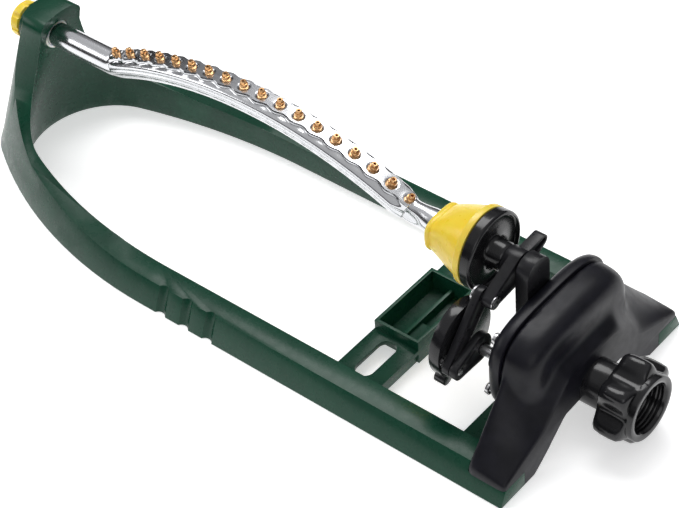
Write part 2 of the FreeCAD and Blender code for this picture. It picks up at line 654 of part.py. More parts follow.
def gear_case_cover():
    """Front half of the gear case, with bearings for the crank shaft and a water port."""
    skin = Part.makeLoft([case_outline(CASE_X0, 4.0), case_outline(CASE_X0 + 2.2, 0.9),
                          case_outline(CASE_X0 + 4.5, 0.0), case_outline(CASE_X1, 0.0)], True, False)
    hollow = Part.makeLoft([case_outline(CASE_X0 + CASE_WALL, 4.5), case_outline(CASE_X1 + 1, 3.6)],
                           True, True)
    cover = skin.cut(hollow)
    bearing = rod_x(CASE_X0 - 2.0, CASE_X0 + CASE_WALL, 6.6, CRANK_Y, CRANK_Z)
    cover = join(cover, bearing).cut(rod_x(CASE_X0 - 3, CASE_X1, SHAFT_R + 1.6, CRANK_Y, CRANK_Z))
    cover = cover.cut(rod_x(CASE_X0 + CASE_WALL, CASE_X1 + 1, GEAR_ROOM_R, CRANK_Y, CRANK_Z))
    cover = cover.cut(rod_x(CASE_X0 - 1, CASE_X1, PIPE_BORE, 0, PORT_Z))
    for y, z in case_screw_places():
        cover = cover.cut(rod_x(CASE_X0 - 1, CASE_X1, 1.6, y, z))
    return cover


def output_bush():
    return ring_x(CASE_X0 - 2.0, CASE_X0 + CASE_WALL, SHAFT_R + 1.6, SHAFT_R + FIT, CRANK_Y, CRANK_Z)


def case_screw_places():
    return [(33, 58), (-33, 59.5), (35, 26), (-39.5, 31)]


def case_screws():
    """Pan-head screws that close the gear case."""
    screws = []
    for y, z in case_screw_places():
        head = rod_x(CASE_X0 - 1.8, CASE_X0, 3.2, y, z)
        cross = [box(CASE_X0 - 3, CASE_X0 - 0.8, y - w, y + w, z - h, z + h) for w, h in ((2, 0.4), (0.4, 2))]
        screws.append(join(head, rod_x(CASE_X0, CASE_X1 + 6, 1.6, y, z)).cut(cross))
    return Part.Compound(screws)


def outlet_elbow():
    """Water passage up the front of the case, ending in the pipe that the lever and cap turn on."""
    top = AXIS_Z + 9.0
    body = prism_x([(9, 50, 4), (9, top, 8.5), (-9, top, 8.5), (-9, 50, 4)], BOSS_X0, CASE_X0)
    pipe = rod_x(PIPE_X0, BOSS_X0 + 1, PIPE_R)
    elbow = join(body, pipe).cut(rod_x(PIPE_X0 - 1, BOSS_X0 + 5.2, PIPE_BORE))
    channel = rod_z(PORT_Z, AXIS_Z, 2.4, BOSS_X0 + 3.6, 0)
    return elbow.cut(channel).cut(rod_x(BOSS_X0 + 2, CASE_X0 + 1, PIPE_BORE, 0, PORT_Z))


def housing_body(inset):
    """Rounded box behind the seam, with its far edge rounded over."""
    i = inset
    return Part.makeLoft([case_outline(CASE_X1 - i, 1.2 + i), case_outline(BODY_X1 - 7.0 - i, 1.6 + i),
                          case_outline(BODY_X1 - 1.6 - i, 4.0 + i), case_outline(BODY_X1 - i, 7.5 + i)],
                         True, False)


def fender(inset):
    """Wings that fall from the seam to the arms and to the hose end."""
    i = inset
    seam = mirrored([(74.0 - i, 4.0, 0), (74.0 - i, 13.0 - 2 * i, 0), (46.0 - i, 49.0 - i, 0),
                     (31.0 - i, 67.0 - 1.5 * i, 0)])
    end = mirrored([(74.0 - i, 4.0, 0), (74.0 - i, 12.5 - 2 * i, 0), (41.0 - i, 23.0 - i, 0),
                    (20.0 - i, 43.0 - 1.5 * i, 0)])
    return Part.makeLoft([rounded_wire(seam, SEAT_X + 0.2 - i), rounded_wire(end, HOUSING_X1 - i)], True, True)


def housing_floor():
    """Everything under the housing's lower edge: the seats on the arms and the arch at the front."""
    arch = mirrored([(51, -5, 0), (49.5, 0, 3), (37, 9, 8), (24, 20, 5), (10, 20.6, 0)])
    keep_low = box(CASE_X1 - 1, HOUSING_X1 - 3.0, -90, 90, -5, SEAT_TOP)
    sides = [box(CASE_X1 - 1, HOUSING_X1 + 1, s * 90 if s < 0 else INNER_HALF - 0.2,
                 -INNER_HALF + 0.2 if s < 0 else 90, -5, SEAT_TOP) for s in (1, -1)]
    return [prism_x(arch, HOUSING_X1 - 4, HOUSING_X1 + 1), keep_low] + sides


def motor_housing():
    """Rear cover over the motor: a rounded body between two wings that stand on the arms."""
    shell = housing_body(0).fuse(fender(0)).cut(housing_body(WALL)).cut(fender(WALL))
    shell = shell.cut(housing_floor())
    posts = [rod_z(SEAT_TOP, 17.5, 4.0, x, y) for x, y in leg_screw_places()]
    posts += [rod_x(CASE_X1, CASE_X1 + 10, 4.0, y, z) for y, z in case_screw_places()]
    webs = [box(CASE_X1, BODY_X1 - 1, y - 1, y + 1, 58, 69) for y in (33, -33)]
    webs += [box(CASE_X1, BODY_X1 - 1, 35, 68, 25, 27), box(CASE_X1, BODY_X1 - 1, -66, -39.5, 30, 32)]
    inside = housing_body(1.0).fuse(fender(1.0))
    room = box(BOX_X0 - 0.5, BOX_X1 + 0.4, -37.4, 12.4, 11.6, 54.4)
    shell = shell.fuse([p.common(inside).cut(room) for p in posts + webs])
    shell = shell.cut(rod_x(BODY_X1 - 8, HOUSING_X1 + 1, SPIGOT_R, 0, INLET_Z))
    for x, y in leg_screw_places():
        shell = shell.cut(rod_z(SEAT_TOP - 1, 16.0, 1.6, x, y))
    for y, z in case_screw_places():
        shell = shell.cut(rod_x(CASE_X1 - 1, CASE_X1 + 6, 1.6, y, z))
    return shell


def leg_screw_places():
    return [(LEG_SCREW_X, LEG_SCREW_Y), (LEG_SCREW_X, -LEG_SCREW_Y)]


def leg_screws():
    """Screws up through the arms into the housing's legs."""
    screws = [join(rod_z(3.2, 5.0, 3.2, x, y), rod_z(5.0, 16.0, 1.6, x, y)) for x, y in leg_screw_places()]
    return Part.Compound(screws)


def flush_plug():
    """Turn plug in the end of the tube, taken out to flush grit."""
    head = join(rod_x(PLUG_X0 + 2.5, PLUG_X1, PLUG_R), cone_x(PLUG_X0, PLUG_X0 + 2.5, PLUG_R - 2.4, PLUG_R))
    for i in range(8):
        groove = rod_x(PLUG_X0 - 1, PLUG_X1 + 1, 1.9, PLUG_R + 1.0, AXIS_Z)
        groove.rotate(Vec(0, 0, AXIS_Z), X_AXIS, 45 * i)
        head = head.cut(groove)
    slot = box(PLUG_X0 - 1, PLUG_X0 + 1.8, -1.2, 1.2, AXIS_Z - 6, AXIS_Z + 6)
    shank = rod_x(PLUG_X1, PLUG_SHANK_X1, TUBE_R - TUBE_WALL - FIT)
    return join(head, shank).cut(slot).cut(rod_x(PLUG_SHANK_X1 - 8, PLUG_SHANK_X1 + 1, 4.2))


def plug_seal():
    return ring_x(PLUG_X1, HUB_X0 - 0.1, 8.2, TUBE_R - TUBE_WALL - FIT)


BUILDERS = [base_frame, post_bush, spray_tube, spray_nozzles, tube_cap, cap_seal, range_dial,
            drive_lever, lever_pin, lever_clip, output_shaft, crank_arm, crank_pin, crank_dial,
            connecting_rod, output_gear, drive_pinion, reduction_gearbox, turbine_shaft, turbine_wheel,
            jet_ring, inlet_spigot, inlet_screen, hose_washer, hose_nut, gear_case_cover, output_bush,
            case_screws, outlet_elbow, motor_housing, leg_screws, flush_plug, plug_seal]

os.makedirs("parts", exist_ok=True)
for builder in BUILDERS:
    shape = builder()
    shape.translate(Vec(-MIDDLE_X, 0, 0))
    shape.exportStep("parts/" + builder.__name__ + ".step")
    print(builder.__name__, len(shape.Solids), round(shape.Volume), shape.isValid(), shape.BoundBox)
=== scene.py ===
"""Looks of the oscillating sprinkler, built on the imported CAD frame. Lengths are in metres."""
import json
import math

import bmesh
import bpy
from mathutils import Matrix, Vector

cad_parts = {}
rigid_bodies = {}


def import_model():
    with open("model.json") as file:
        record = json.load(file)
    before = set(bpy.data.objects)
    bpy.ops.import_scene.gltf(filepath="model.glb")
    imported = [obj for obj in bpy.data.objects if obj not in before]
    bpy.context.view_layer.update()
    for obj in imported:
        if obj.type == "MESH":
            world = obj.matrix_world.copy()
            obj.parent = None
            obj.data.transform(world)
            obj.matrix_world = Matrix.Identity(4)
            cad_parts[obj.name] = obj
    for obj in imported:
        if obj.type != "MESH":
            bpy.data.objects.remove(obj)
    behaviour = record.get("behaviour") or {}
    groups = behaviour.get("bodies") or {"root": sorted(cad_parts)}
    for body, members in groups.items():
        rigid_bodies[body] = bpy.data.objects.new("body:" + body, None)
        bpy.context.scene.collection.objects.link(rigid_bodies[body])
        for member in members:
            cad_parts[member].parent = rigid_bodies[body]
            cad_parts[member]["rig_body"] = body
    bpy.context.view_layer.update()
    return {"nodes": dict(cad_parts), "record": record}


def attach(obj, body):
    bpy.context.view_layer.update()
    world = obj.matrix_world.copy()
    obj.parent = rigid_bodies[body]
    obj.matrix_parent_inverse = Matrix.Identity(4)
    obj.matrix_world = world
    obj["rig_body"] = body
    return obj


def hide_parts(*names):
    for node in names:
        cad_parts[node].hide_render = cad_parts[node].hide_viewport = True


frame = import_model()
nodes = frame["nodes"]
MM = 0.001
MIDDLE_X = 0.0094          # the frame's origin is this far along the drawing's x


# ---------------------------------------------------------------- materials

def link(tree, a, b):
    tree.links.new(a, b)


def add(tree, kind, **inputs):
    node = tree.nodes.new(kind)
    for name, value in inputs.items():
        node.inputs[name.replace("_", " ")].default_value = value
    return node


def noise(tree, scale, detail=3.0, stretch=(1, 1, 1), rough=0.5):
    """Noise in the part's own metres, so its grain keeps its size and moves with the part."""
    coord = tree.nodes.new("ShaderNodeTexCoord")
    mapping = add(tree, "ShaderNodeMapping", Scale=stretch)
    texture = add(tree, "ShaderNodeTexNoise", Scale=scale, Detail=detail, Roughness=rough)
    link(tree, coord.outputs["Object"], mapping.inputs["Vector"])
    link(tree, mapping.outputs["Vector"], texture.inputs["Vector"])
    return texture.outputs["Fac"]


def spread(tree, source, low, high, start=0.3, end=0.7):
    """Maps start..end of a value to low..high."""
    node = add(tree, "ShaderNodeMapRange", From_Min=start, From_Max=end, To_Min=low, To_Max=high)
    link(tree, source, node.inputs["Value"])
    return node.outputs["Result"]


def blend(tree, source, first, second):
    """One colour running into another over the middle of a value."""
    ramp = tree.nodes.new("ShaderNodeValToRGB")
    ramp.color_ramp.elements[0].position = 0.35
    ramp.color_ramp.elements[1].position = 0.65
    ramp.color_ramp.elements[0].color = (*first, 1)
    ramp.color_ramp.elements[1].color = (*second, 1)
    link(tree, source, ramp.inputs["Fac"])
    return ramp.outputs["Color"]


# Pointiness band and strength of the painted edge highlight.
HIGHLIGHT_FROM, HIGHLIGHT_TO = 0.515, 0.60
HIGHLIGHT_AMOUNT = 0.5
ROUGH_NOISE = 220.0
SCATTER_RADIUS = (0.004, 0.002, 0.0006)


def painted_edge_highlight(tree, colour, edge, amount):
    """Mixes in a painted highlight colour where the surface is sharply convex, standing in for the light
    that rounded edges catch.
    """
    geometry = tree.nodes.new("ShaderNodeNewGeometry")
    highlight_mask = spread(tree, geometry.outputs["Pointiness"], 0.0, amount, HIGHLIGHT_FROM, HIGHLIGHT_TO)
    mix = tree.nodes.new("ShaderNodeMix")
    mix.data_type = "RGBA"
    link(tree, highlight_mask, mix.inputs[0])
    link(tree, colour, mix.inputs[6])
    mix.inputs[7].default_value = (*edge, 1)
    return mix.outputs[2]


def finish_of(name, dark, light, rough, bumps, edge=None, metallic=0.0, mottle=90.0, stretch=(1, 1, 1),
              coat=0.0, subsurface=0.0, anisotropic=0.0, specular=0.5):
    """One procedural finish. dark and light mottle the colour. edge is a painted highlight colour for
    sharply convex edges. bumps: (size mm, depth mm, stretch).
    """
    material = bpy.data.materials.new(name)
    material.use_nodes = True
    tree = material.node_tree
    bsdf = tree.nodes["Principled BSDF"]
    colour = blend(tree, noise(tree, mottle, 4.0, stretch), dark, light)
    # Painted highlight: a lighter colour on sharply convex edges, standing in for the light they catch.
    if edge:
        colour = painted_edge_highlight(tree, colour, edge, HIGHLIGHT_AMOUNT)
    link(tree, colour, bsdf.inputs["Base Color"])
    roughness = spread(tree, noise(tree, ROUGH_NOISE, 5.0, stretch), rough[0], rough[1])
    link(tree, roughness, bsdf.inputs["Roughness"])
    normal = None
    for size, depth, along in bumps:
        bump = add(tree, "ShaderNodeBump", Strength=1.0, Distance=depth * MM)
        link(tree, noise(tree, 1000.0 / size, 2.0, along), bump.inputs["Height"])
        if normal:
            link(tree, normal, bump.inputs["Normal"])
        normal = bump.outputs["Normal"]
    if normal:
        link(tree, normal, bsdf.inputs["Normal"])
    bsdf.inputs["Metallic"].default_value = metallic
    bsdf.inputs["Specular IOR Level"].default_value = specular
    bsdf.inputs["Coat Weight"].default_value = coat
    bsdf.inputs["Coat Roughness"].default_value = 0.1
    bsdf.inputs["Subsurface Weight"].default_value = subsurface
    bsdf.inputs["Subsurface Radius"].default_value = SCATTER_RADIUS
    bsdf.inputs["Anisotropic"].default_value = anisotropic
    return material


EVEN = (1, 1, 1)
# The edge colours below are painted highlights, laid on sharply convex edges.
FINISH = {
    "green_plastic": finish_of(
        "green_plastic", (0.0045, 0.044, 0.024), (0.0060, 0.053, 0.029), (0.24, 0.33),
        [(1.1, 0.008, EVEN), (14.0, 0.03, EVEN)], edge=(0.012, 0.085, 0.047), specular=0.24),
    "aluminium": finish_of(
        "aluminium", (0.66, 0.67, 0.69), (0.76, 0.77, 0.79), (0.15, 0.24),
        [(0.9, 0.0016, (0.05, 1, 1))], metallic=1.0, stretch=(0.1, 1, 1), anisotropic=0.3),
    "brass": finish_of(
        "brass", (0.50, 0.23, 0.08), (0.68, 0.36, 0.15), (0.20, 0.34),
        [(0.5, 0.01, EVEN)], edge=(0.95, 0.72, 0.42), metallic=1.0, mottle=400.0),
    "yellow_plastic": finish_of(
        "yellow_plastic", (0.94, 0.66, 0.03), (0.97, 0.72, 0.06), (0.26, 0.34),
        [(1.4, 0.012, EVEN), (12.0, 0.04, EVEN)], edge=(0.97, 0.78, 0.2), subsurface=0.25),
    "black_gloss": finish_of(
        "black_gloss", (0.006, 0.006, 0.007), (0.011, 0.011, 0.012), (0.14, 0.24),
        [(1.6, 0.010, EVEN), (9.0, 0.03, EVEN)], edge=(0.03, 0.03, 0.035), coat=0.1, specular=0.36),
    "black_satin": finish_of(
        "black_satin", (0.008, 0.008, 0.009), (0.014, 0.014, 0.016), (0.26, 0.38),
        [(0.8, 0.012, EVEN)], edge=(0.024, 0.024, 0.03), specular=0.28),
    "black_textured": finish_of(
        "black_textured", (0.005, 0.005, 0.008), (0.009, 0.009, 0.014), (0.32, 0.42),
        [(0.55, 0.022, EVEN), (10.0, 0.02, EVEN)], edge=(0.016, 0.016, 0.024), specular=0.24),
    "steel": finish_of(
        "steel", (0.55, 0.55, 0.56), (0.66, 0.66, 0.67), (0.22, 0.36),
        [(0.6, 0.006, (0.2, 1, 1))], metallic=1.0),
    "acetal": finish_of(
        "acetal", (0.78, 0.77, 0.72), (0.85, 0.84, 0.80), (0.30, 0.42),
        [(1.0, 0.01, EVEN)], edge=(0.92, 0.92, 0.9), subsurface=0.2),
    "seal_rubber": finish_of(
        "seal_rubber", (0.015, 0.015, 0.015), (0.028, 0.027, 0.026), (0.50, 0.66),
        [(0.6, 0.03, EVEN)], edge=(0.06, 0.06, 0.06)),
}

SLOT = {part["node"]: part["material_slot"] for part in frame["record"]["subparts"]}


# ---------------------------------------------------------------- mesh helpers

def piece(name, vertices, faces, body, replaced, slot, smooth):
    """A new mesh piece that stands for one CAD node."""
    mesh = bpy.data.meshes.new(name)
    mesh.from_pydata([(v[0] - MIDDLE_X, v[1], v[2]) for v in vertices], [], faces)
    mesh.update()
    thing = bpy.data.objects.new(name, mesh)
    bpy.context.scene.collection.objects.link(thing)
    settle(thing, smooth)
    mesh.materials.append(FINISH[slot])
    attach(thing, body)
    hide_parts(replaced)


def settle(thing, smooth):
    """Outward faces, smooth shading, and sharp edges above an angle."""
    build = bmesh.new()
    build.from_mesh(thing.data)
    bmesh.ops.remove_doubles(build, verts=build.verts, dist=1e-6)
    bmesh.ops.recalc_face_normals(build, faces=build.faces)
    for face in build.faces:
        face.smooth = True
    limit = math.radians(smooth)
    for edge in build.edges:
        edge.smooth = not (edge.is_manifold and edge.calc_face_angle(0.0) > limit)
    build.to_mesh(thing.data)
    build.free()


def apply_all(thing):
    """Bakes the modifiers into the mesh."""
    graph = bpy.context.evaluated_depsgraph_get()
    baked = bpy.data.meshes.new_from_object(thing.evaluated_get(graph))
    thing.modifiers.clear()
    thing.data = baked


FLAT_ANGLE = 0.6
BEVEL_ANGLE = 28.0
BEVEL_SEGMENTS = 2
BEVEL_SMOOTH = 32.0


def refined(node, width):
    """A copy of a CAD node's mesh with its coplanar facets joined and its edges rounded."""
    source = nodes[node]
    mesh = source.data.copy()
    thing = bpy.data.objects.new(node + "_finish", mesh)
    bpy.context.scene.collection.objects.link(thing)
    build = bmesh.new()
    build.from_mesh(mesh)
    bmesh.ops.remove_doubles(build, verts=build.verts, dist=2e-6)
    bmesh.ops.dissolve_limit(build, angle_limit=math.radians(FLAT_ANGLE), verts=build.verts,
                             edges=build.edges)
    build.to_mesh(mesh)
    build.free()
    bevel = thing.modifiers.new("edges", "BEVEL")
    bevel.width = width * MM
    bevel.segments = BEVEL_SEGMENTS
    bevel.limit_method = "ANGLE"
    bevel.angle_limit = math.radians(BEVEL_ANGLE)
    bevel.use_clamp_overlap = True
    apply_all(thing)
    settle(thing, BEVEL_SMOOTH)
    slot = SLOT[node]
    thing.data.materials.clear()
    thing.data.materials.append(FINISH[slot])
    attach(thing, source["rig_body"])
    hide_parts(node)


def skin(rings, caps=True):
    """Vertices and faces of a surface through rings with equal numbers of points."""
    count = len(rings[0])
    vertices = [p for ring in rings for p in ring]
    faces = []
    for r in range(len(rings) - 1):
        for i in range(count):
            j = (i + 1) % count
            faces.append((r * count + i, r * count + j, (r + 1) * count + j, (r + 1) * count + i))
    if caps:
        faces.append(tuple(range(count))[::-1])
        faces.append(tuple((len(rings) - 1) * count + i for i in range(count)))
    return vertices, faces


SPLINE_STEPS = 24


def spline(points, count):
    """Evenly spaced points on a smooth curve through the given ones."""
    dense = []
    last = len(points) - 1
    for i in range(last):
        p0, p1, p2, p3 = (Vector(points[max(i - 1, 0)]), Vector(points[i]), Vector(points[i + 1]),
                          Vector(points[min(i + 2, last)]))
        for k in range(SPLINE_STEPS):
            t = k / SPLINE_STEPS
            dense.append(0.5 * ((2 * p1) + (p2 - p0) * t + (2 * p0 - 5 * p1 + 4 * p2 - p3) * t ** 2
                                + (3 * p1 - p0 - 3 * p2 + p3) * t ** 3))
    dense.append(Vector(points[-1]))
    lengths = [0.0]
    for a, b in zip(dense, dense[1:]):
        lengths.append(lengths[-1] + (b - a).length)
    out = []
    k = 0
    for i in range(count):
        want = lengths[-1] * i / (count - 1)
        while k < len(lengths) - 2 and lengths[k + 1] < want:
            k += 1
        part = (want - lengths[k]) / max(lengths[k + 1] - lengths[k], 1e-12)
        out.append(dense[k].lerp(dense[k + 1], min(max(part, 0), 1)))
    return out


def oval(x, half_y, half_z, z, power, segments=96):
    """A superellipse across X, in mm, returned in metres."""
    ring = []
    for i in range(segments):
        a = 2 * math.pi * i / segments
        c, s = math.cos(a), math.sin(a)
        ring.append(Vector((x, half_y * math.copysign(abs(c) ** (2 / power), c),
                            z + half_z * math.copysign(abs(s) ** (2 / power), s))) * MM)
    return ring


def joined(parts):
    """Several (vertices, faces) pairs as one."""
    vertices, faces = [], []
    for v, f in parts:
        base = len(vertices)
        vertices += v
        faces += [tuple(i + base for i in face) for face in f]
    return vertices, faces


# ---------------------------------------------------------------- spray tube

AXIS_Z = 77.5              # the tube's axis, above the ground, in mm like all that follows
TUBE_R = 7.0
TUBE_X0, TUBE_X1 = -179.0, 114.0
ARCH_X, ARCH_R, ARCH_SPAN, BEND_R = -15.3, 240.0, math.radians(24.8), 12.0
ARCH_Z = AXIS_Z + (ARCH_R + BEND_R) * (1 - math.cos(ARCH_SPAN)) - ARCH_R
BAND_TOP = 6.0
NOZZLES, NOZZLE_STEP = 18, 0.05
REACH = (ARCH_R + BEND_R) * math.sin(ARCH_SPAN)
NECK_X = ARCH_X + REACH    # where the arch's bend meets the straight end in the cap
POST_STEPS, BEND_STEPS, ARCH_STEPS, NECK_STEPS = 40, 14, 420, 16


def arch_angle(i):
    return (i - (NOZZLES - 1) / 2) * NOZZLE_STEP


def tube_stations():
    """(x, z, slope, angle along the arch or None) from the post to the cap."""
    stations = [(TUBE_X0 + (ARCH_X - REACH - TUBE_X0) * k / POST_STEPS, AXIS_Z, 0.0, None)
                for k in range(POST_STEPS)]
    for k in range(BEND_STEPS):
        a = ARCH_SPAN * k / BEND_STEPS
        stations.append((ARCH_X - REACH + BEND_R * math.sin(a), AXIS_Z + BEND_R * (1 - math.cos(a)),
                         a, None))
    for k in range(ARCH_STEPS + 1):
        a = -ARCH_SPAN + 2 * ARCH_SPAN * k / ARCH_STEPS
        stations.append((ARCH_X + ARCH_R * math.sin(a), ARCH_Z + ARCH_R * math.cos(a), -a, a))
    for k in range(BEND_STEPS - 1, -1, -1):
        a = ARCH_SPAN * k / BEND_STEPS
        stations.append((NECK_X - BEND_R * math.sin(a), AXIS_Z + BEND_R * (1 - math.cos(a)), -a, None))
    stations += [(NECK_X + (TUBE_X1 - NECK_X) * k / NECK_STEPS, AXIS_Z, 0.0, None)
                 for k in range(1, NECK_STEPS + 1)]
    return stations


def smoothstep(low, high, value):
    t = min(max((value - low) / (high - low), 0.0), 1.0)
    return t * t * (3 - 2 * t)


TOP_COUNT = 23
SIDE_COUNT = 30
SIDE = [(6.7, 3.4), (7.8, 2.6), (8.0, 1.2), (7.55, 0.4), (7.9, -0.4), (7.75, -1.6), (7.3, -2.2),
        (7.4, -3.0), (6.2, -5.4), (3.6, -7.1), (0.0, -7.6)]
ROUND_PAD = 5.0


def stamped_section(pad):
    """Points of the stamped section: over the band, pad mm to each side, and round the underside."""
    points = [Vector((-pad + 2 * pad * k / (TOP_COUNT - 1), BAND_TOP)) for k in range(TOP_COUNT)]
    side = spline([(pad, BAND_TOP), (pad + 0.35, BAND_TOP - 0.5), (pad + 0.1, BAND_TOP - 1.7)] + SIDE,
                  SIDE_COUNT + 1)
    right = side[1:]
    left = [Vector((-p.x, p.y)) for p in reversed(right[:-1])]
    return points + [Vector((p.x, p.y)) for p in right] + left


def round_section():
    """The round tube with its points spread like those of the stamped section."""
    sharp = stamped_section(ROUND_PAD)
    lengths = [0.0]
    ring = sharp + [sharp[0]]
    for a, b in zip(ring, ring[1:]):
        lengths.append(lengths[-1] + (b - a).length)
    first = math.atan2(sharp[0].y, sharp[0].x)
    out = []
    for i in range(len(sharp)):
        a = first - 2 * math.pi * lengths[i] / lengths[-1]
        out.append(Vector((TUBE_R * math.cos(a), TUBE_R * math.sin(a))))
    return out


PAD_HALF, PAD_WAVE = 4.75, 0.65           # the band's edge waves out at each nozzle
FADE_BEFORE, FADE_AFTER = 0.02, 0.035     # radians over which the round tube becomes the stamped one
STEM_Y, STEM_Z = 0.80, 0.98               # the neck is pressed narrower
SEAT_DEPTH, SEAT_INNER, SEAT_OUTER = 0.85, 2.2, 3.7
DENT_DEPTH, DENT_LONG, DENT_TALL = 1.3, 9.0, 3.4
BORE_SCALE, BORE_DEPTH = 0.88, 12


def tube_rings():
    """Rings of the tube from the post to the cap, with a dimple round each nozzle."""
    rings = []
    plain = round_section()
    stem = [Vector((p.x * STEM_Y, p.y * STEM_Z)) for p in plain]
    for x, z, slope, angle in tube_stations():
        gap = 6.0
        if angle is not None:
            gap = min(abs(angle - arch_angle(i)) for i in range(NOZZLES)) * (ARCH_R + BAND_TOP)
        pad = PAD_HALF + PAD_WAVE * math.cos(2 * math.pi * gap / (NOZZLE_STEP * (ARCH_R + BAND_TOP)))
        stamped = stamped_section(pad)
        weight = 0.0
        if angle is not None:
            left = smoothstep(-ARCH_SPAN - FADE_BEFORE, -ARCH_SPAN + FADE_AFTER, angle)
            right = 1 - smoothstep(ARCH_SPAN - FADE_AFTER, ARCH_SPAN + FADE_BEFORE, angle)
            weight = left * right
        flare = smoothstep(NECK_X - 14, NECK_X - 2, x) * (1 - smoothstep(NECK_X + 2, NECK_X + 12, x))
        ring = []
        for p, q, s in zip(stamped, plain, stem):
            r = q.lerp(s, flare).lerp(p, weight)
            along = 0.0
            if angle is not None and r.y > BAND_TOP - 0.6:
                near = min(range(NOZZLES), key=lambda i: abs(angle - arch_angle(i)))
                d = math.hypot((angle - arch_angle(near)) * (ARCH_R + BAND_TOP), r.x)
                along = -SEAT_DEPTH * (1 - smoothstep(SEAT_INNER, SEAT_OUTER, d)) * weight
            dent = 0.0
            if x > NECK_X - 16 and abs(r.x) > 2:
                e = ((x - (NECK_X - 3)) / DENT_LONG) ** 2 + ((r.y - 1.0) / DENT_TALL) ** 2
                dent = DENT_DEPTH * max(0.0, 1 - e)
            across = r.x - math.copysign(dent, r.x)
            up = r.y + along
            ring.append(Vector((x - up * math.sin(slope), across, z + up * math.cos(slope))) * MM)
        rings.append(ring)
    return rings


def bore_rings(ring, inward):
    """The tube's open end: a ring inside the given one, and the same ring further in."""
    mouth = [Vector((p.x, p.y * BORE_SCALE, AXIS_Z * MM + (p.z - AXIS_Z * MM) * BORE_SCALE)) for p in ring]
    return mouth, [Vector((p.x + inward * BORE_DEPTH * MM, p.y, p.z)) for p in mouth]


def build_tube():
    outer = tube_rings()
    mouth_start, deep_start = bore_rings(outer[0], 1)
    mouth_end, deep_end = bore_rings(outer[-1], -1)
    rings = [deep_start, mouth_start] + outer + [mouth_end, deep_end]
    piece("stamped_tube", *skin(rings), "spray_bar", "spray_tube", "aluminium", 50.0)


NOZZLE_SEGMENTS = 28
NOZZLE_TURN = 0.7


def nozzle_mesh():
    """One nozzle about +Z, its foot on the band at z = 0: a wide foot, a stepped ring and a fine hole."""
    profile = [(0.55, 1.4), (0.6, 3.35), (0.85, 3.58), (1.35, 3.6), (1.6, 3.4), (1.68, 2.5), (1.72, 2.15),
               (2.1, 2.0), (2.25, 1.75), (2.3, 0.3), (2.3, -1.4), (0.6, -1.4)]
    rings = []
    for radius, height in profile:
        rings.append([(radius * math.cos(2 * math.pi * k / NOZZLE_SEGMENTS),
                       radius * math.sin(2 * math.pi * k / NOZZLE_SEGMENTS), height)
                      for k in range(NOZZLE_SEGMENTS)])
    return rings


def build_nozzles():
    """The row of nozzles, each turned a little further than the last."""
    parts = []
    for i in range(NOZZLES):
        a = arch_angle(i)
        foot = Vector((ARCH_X + (ARCH_R + BAND_TOP) * math.sin(a), 0,
                       ARCH_Z + (ARCH_R + BAND_TOP) * math.cos(a)))
        turn = Matrix.Rotation(a, 3, "Y") @ Matrix.Rotation(NOZZLE_TURN * i, 3, "Z")
        rings = [[(foot + turn @ Vector(p)) * MM for p in ring] for ring in nozzle_mesh()]
        parts.append(skin(rings))
    piece("nozzle_row", *joined(parts), "spray_bar", "spray_nozzles", "brass", 35.0)


# ---------------------------------------------------------------- cap, nut and dial

HORN_STEPS = 12
LOBES = 6
LOBE_TURN = 15.0
NUT_Z = 24.4
NUT_SEGMENTS = 144
RIDGE_STEPS = 40
DIAL_SEGMENTS = 240


def build_cap():
    """Rounded mouth with a rim, blown out to a round flange with a thin lip."""
    wide = [oval(114.0, 7.2, 7.2, AXIS_Z, 2.0), oval(104.9, 7.2, 7.2, AXIS_Z, 2.0),
            oval(104.9, 11.2, 8.0, AXIS_Z, 3.0), oval(104.3, 11.7, 8.5, AXIS_Z, 3.2),
            oval(104.3, 12.5, 9.1, AXIS_Z, 3.2), oval(104.9, 13.0, 9.6, AXIS_Z, 3.2),
            oval(106.6, 13.2, 9.9, AXIS_Z, 3.1), oval(107.4, 12.8, 9.6, AXIS_Z, 3.0)]
    for k in range(1, HORN_STEPS + 1):
        t = k / HORN_STEPS
        wide.append(oval(107.4 + 20.0 * t, 12.8 + 7.2 * t ** 1.25, 9.6 + 10.4 * t ** 0.85, AXIS_Z,
                         3.0 - 1.0 * t))
    wide += [oval(x, r, r, AXIS_Z, 2.0) for x, r in
             ((127.9, 21.0), (128.4, 21.5), (131.0, 21.6), (131.5, 21.3), (131.5, 8.0), (124.0, 7.4))]
    piece("cap_horn", *skin(wide, caps=False), "spray_bar", "tube_cap", "yellow_plastic", 38.0)


def build_nut():
    """Hand nut with six deep lobes, a round rim and thread ridges in its bore."""

    def lobed(x, base, lift):
        ring = []
        for i in range(NUT_SEGMENTS):
            a = 2 * math.pi * i / NUT_SEGMENTS
            wave = 0.5 + 0.5 * math.cos(LOBES * (a - math.radians(LOBE_TURN)))
            radius = base + lift * wave ** 1.15
            ring.append(Vector((x, radius * math.cos(a), NUT_Z + radius * math.sin(a))) * MM)
        return ring

    outside = [(209.3, 9.3, 0), (209.3, 15.6, 0.4), (209.9, 16.6, 1.6), (210.8, 17.0, 4.6),
               (212.4, 17.1, 6.0), (216.0, 17.2, 6.5), (221.0, 17.3, 6.5), (224.6, 17.4, 6.0),
               (226.2, 17.5, 4.4), (227.0, 17.6, 1.6), (227.3, 17.7, 0.2), (230.2, 17.8, 0),
               (230.7, 17.4, 0), (230.8, 16.6, 0), (230.7, 14.6, 0), (230.1, 13.9, 0)]
    rings = [lobed(*row) for row in outside]
    for k in range(RIDGE_STEPS):
        x = 229.6 - 13.0 * k / (RIDGE_STEPS - 1)
        ridge = 13.75 - 0.5 * abs(math.sin(math.pi * k / 6.5))
        rings.append(lobed(x, ridge, 0))
    rings += [lobed(216.0, 13.4, 0), lobed(212.4, 13.4, 0), lobed(212.4, 9.3, 0), lobed(209.3, 9.3, 0)]
    piece("grip_nut", *skin(rings, caps=False), "nut", "hose_nut", "black_gloss", 42.0)


